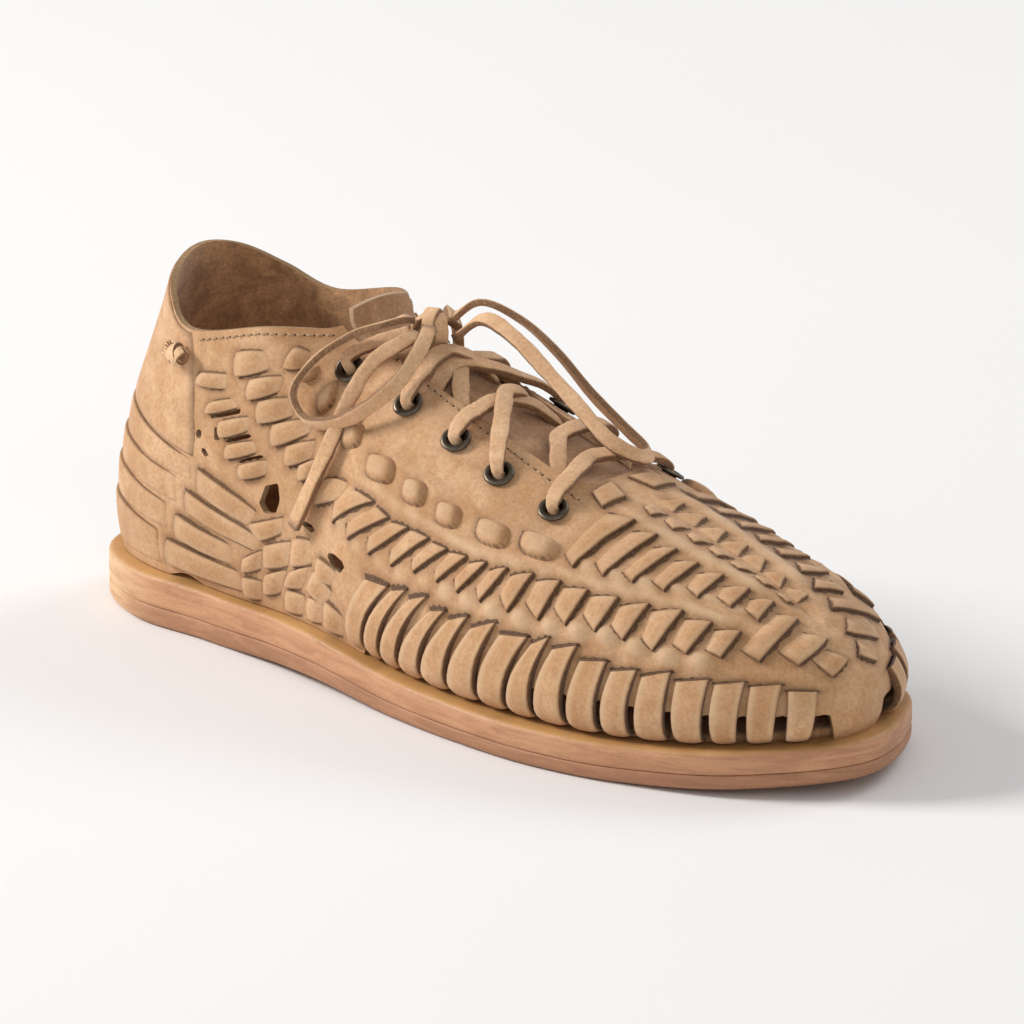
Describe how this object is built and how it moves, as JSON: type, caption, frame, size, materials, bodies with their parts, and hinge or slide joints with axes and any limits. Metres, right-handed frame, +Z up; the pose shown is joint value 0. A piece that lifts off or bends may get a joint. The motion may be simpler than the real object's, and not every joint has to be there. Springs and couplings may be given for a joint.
{
  "type": "huarache bootie",
  "caption": "Low lace-up bootie of woven tan leather for the right foot, with raised straps, open gaps, metal eyelets and a tied bow on a layered sole.",
  "frame": {"origin": "middle of the sole's outline on the floor, where the flat heel and forefoot rest", "axes": "+X towards the toe, +Y towards the inner (medial) side of the right foot, +Z up"},
  "size_m": [0.285, 0.1018, 0.1109],
  "materials": {
    "upper_leather": "matt nubuck-like tan grain leather",
    "tongue_leather": "matt tan leather with a suede back",
    "lining_suede": "brown suede",
    "lace_leather": "flat cut leather lace, pale face and dark edges",
    "sole_leather": "burnished stacked leather",
    "sole_rubber": "smooth brown rubber",
    "eyelet_metal": "antique dark brass"
  },
  "bodies": {
    "root": {"outsole": "sole_rubber", "midsole": "sole_leather", "insole": "lining_suede", "upper": "upper_leather", "tongue": "tongue_leather", "eyelet_lateral_1": "eyelet_metal", "eyelet_medial_1": "eyelet_metal", "eyelet_lateral_2": "eyelet_metal", "eyelet_medial_2": "eyelet_metal", "eyelet_lateral_3": "eyelet_metal", "eyelet_medial_3": "eyelet_metal", "eyelet_lateral_4": "eyelet_metal", "eyelet_medial_4": "eyelet_metal", "eyelet_lateral_5": "eyelet_metal", "eyelet_medial_5": "eyelet_metal", "lace_crossings": "lace_leather", "lace_knot": "lace_leather", "lace_loop_lateral": "lace_leather", "lace_loop_medial": "lace_leather", "lace_end_lateral": "lace_leather", "lace_end_medial": "lace_leather", "heel_tie_lateral": "upper_leather", "heel_tie_medial": "upper_leather"}
  },
  "joints": []
}
